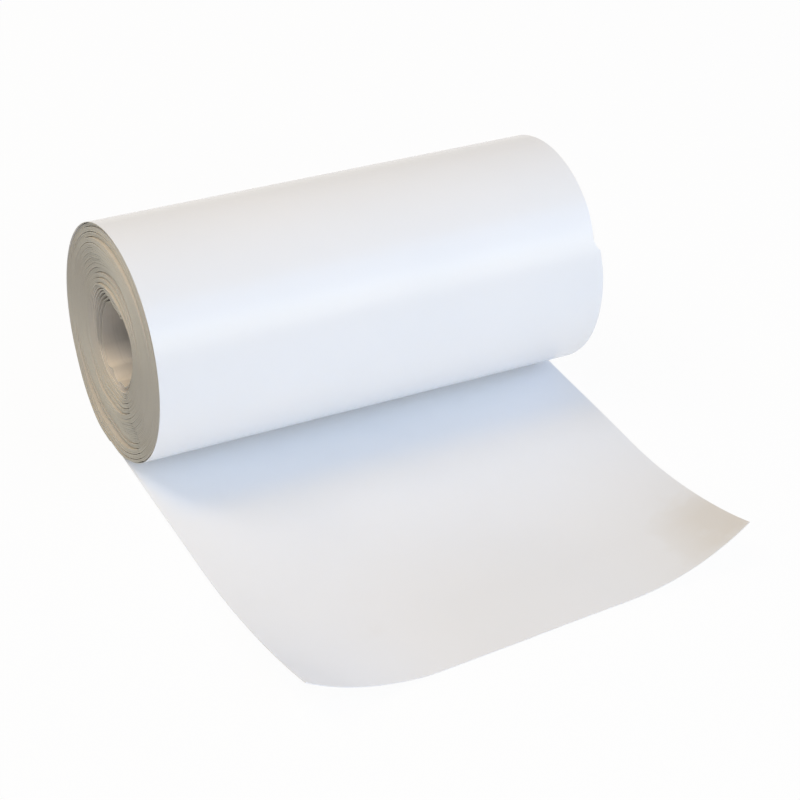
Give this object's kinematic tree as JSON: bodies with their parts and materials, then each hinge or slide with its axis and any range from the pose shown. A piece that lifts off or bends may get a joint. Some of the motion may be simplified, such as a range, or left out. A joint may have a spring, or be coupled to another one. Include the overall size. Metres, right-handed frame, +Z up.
{
  "type": "bin bag roll",
  "caption": "Coreless roll of white plastic film bin bags lying on its side, with its free end pulled out on the floor and its corners curling up.",
  "frame": {"origin": "on the floor under the middle of the roll, where the free end leaves it", "axes": "+X along the roll, +Y away from the free end, +Z up"},
  "size_m": [0.2026, 0.2286, 0.0984],
  "materials": {
    "film": "soft satin white film, slightly milky"
  },
  "bodies": {
    "root": {"bag_roll": "film"}
  },
  "joints": []
}
